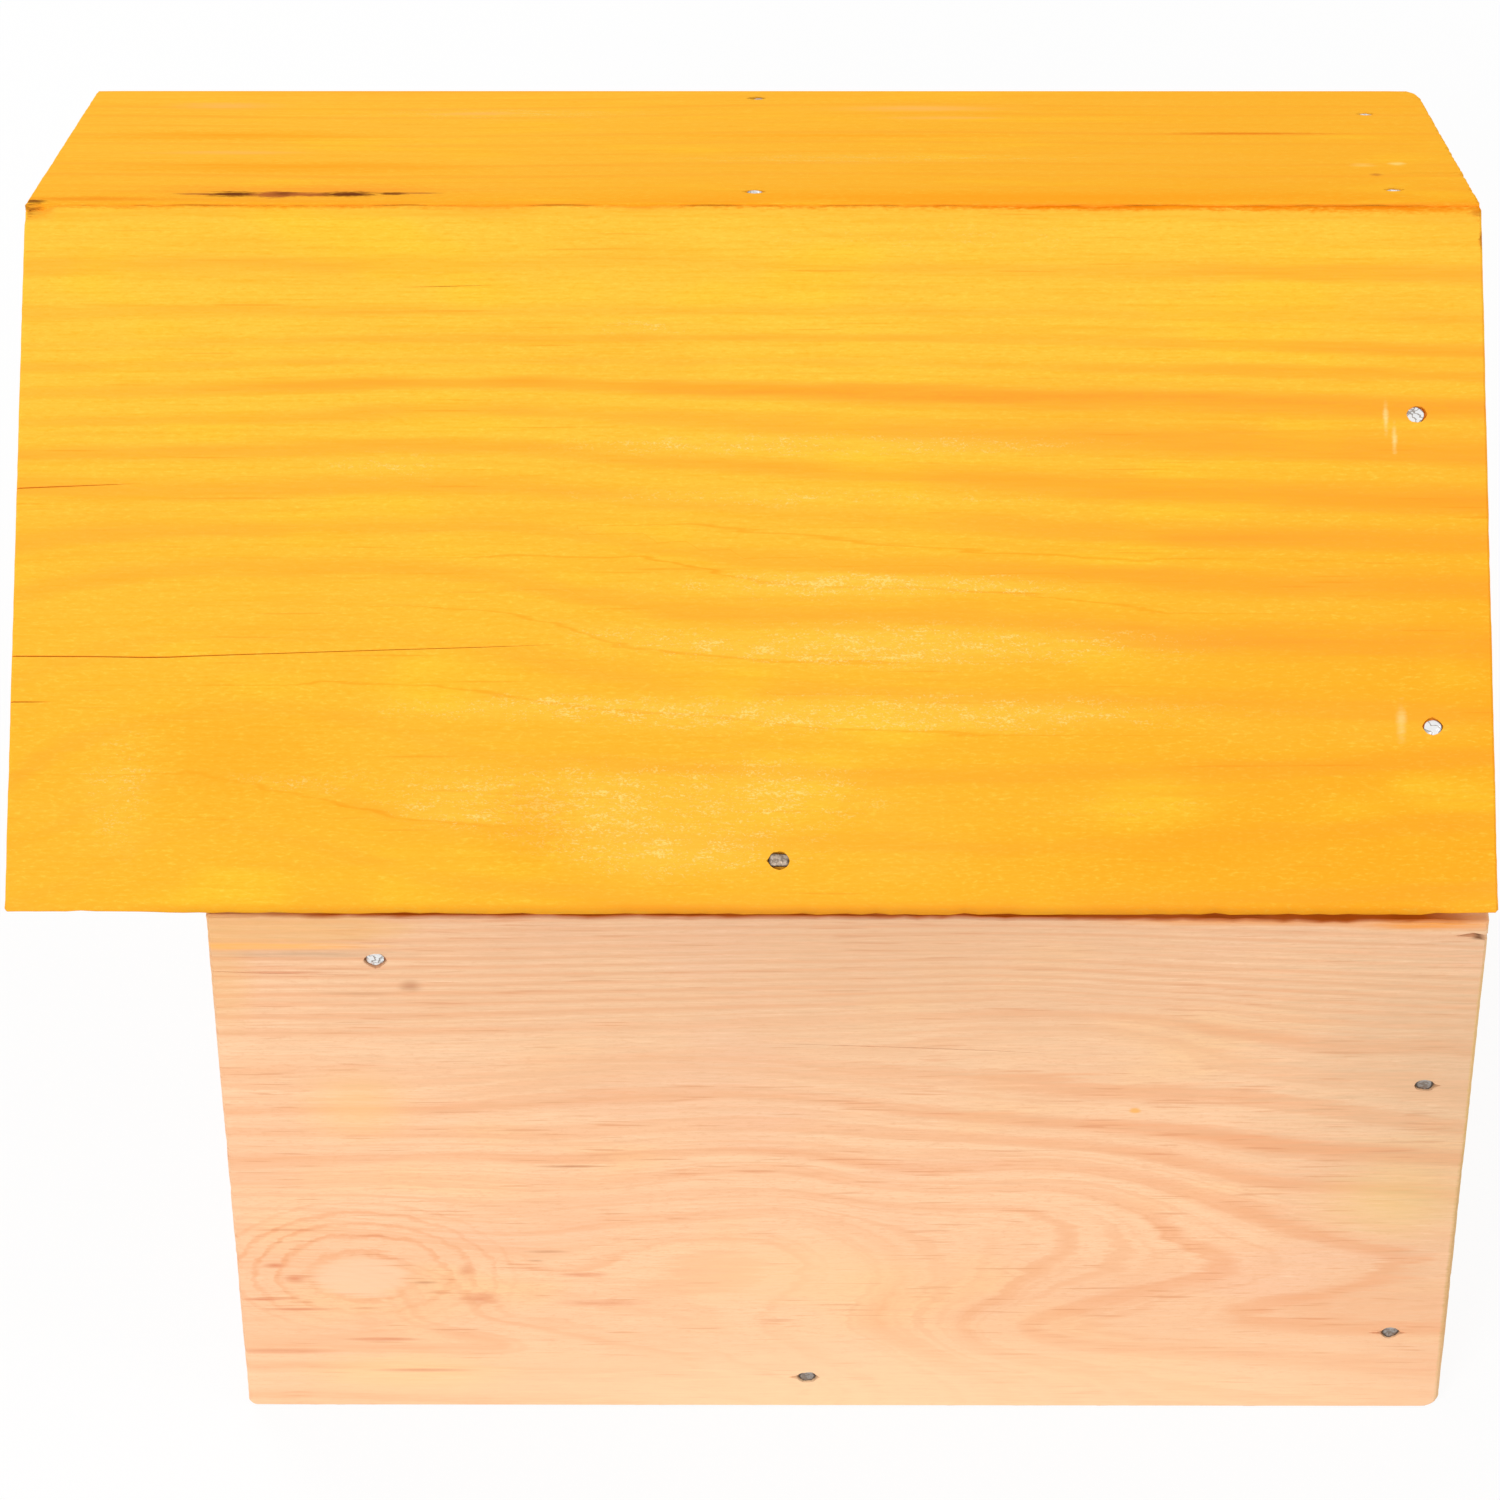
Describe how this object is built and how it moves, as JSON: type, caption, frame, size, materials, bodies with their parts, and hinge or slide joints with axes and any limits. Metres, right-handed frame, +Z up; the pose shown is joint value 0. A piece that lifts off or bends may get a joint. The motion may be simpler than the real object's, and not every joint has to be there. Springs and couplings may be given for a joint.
{
  "type": "bee hotel",
  "caption": "Small pine house with an overhanging gabled roof, an open front packed with hollow bamboo canes and a keyhole in its back panel.",
  "frame": {"origin": "on the ground, under the middle of the roof, at the centre of the footprint", "axes": "+Z up, +Y towards the back panel, +X towards the right wall as seen from the front"},
  "size_m": [0.1368, 0.16, 0.1318],
  "materials": {
    "pale_pine": "sawn and planed pine with a thin orange wash, matt",
    "stained_pine": "pine with a yellow-orange translucent stain, satin",
    "bamboo": "natural cane skin, satin, with raw cut ends",
    "steel": "bright wire nails, slightly dulled"
  },
  "bodies": {
    "root": {"right_wall": "pale_pine", "left_wall": "pale_pine", "floor": "pale_pine", "back_panel": "pale_pine", "gable_board": "pale_pine", "right_roof_board": "stained_pine", "left_roof_board": "stained_pine", "right_floor_nail": "steel", "right_gable_nail": "steel", "right_lower_back_nail": "steel", "right_upper_back_nail": "steel", "left_floor_nail": "steel", "left_gable_nail": "steel", "left_lower_back_nail": "steel", "left_upper_back_nail": "steel", "right_upper_roof_nail": "steel", "right_lower_roof_nail": "steel", "right_eave_nail": "steel", "left_upper_roof_nail": "steel", "left_lower_roof_nail": "steel", "left_eave_nail": "steel", "ridge_nail": "steel", "cane_01": "bamboo", "cane_02": "bamboo", "cane_03": "bamboo", "cane_04": "bamboo", "cane_05": "bamboo", "cane_06": "bamboo", "cane_07": "bamboo", "cane_08": "bamboo", "cane_09": "bamboo", "cane_10": "bamboo", "cane_11": "bamboo", "cane_12": "bamboo", "cane_13": "bamboo", "cane_14": "bamboo", "cane_15": "bamboo", "cane_16": "bamboo", "cane_17": "bamboo", "cane_18": "bamboo", "cane_19": "bamboo", "cane_20": "bamboo", "cane_21": "bamboo", "cane_22": "bamboo", "cane_23": "bamboo", "cane_24": "bamboo", "cane_25": "bamboo"}
  },
  "joints": []
}
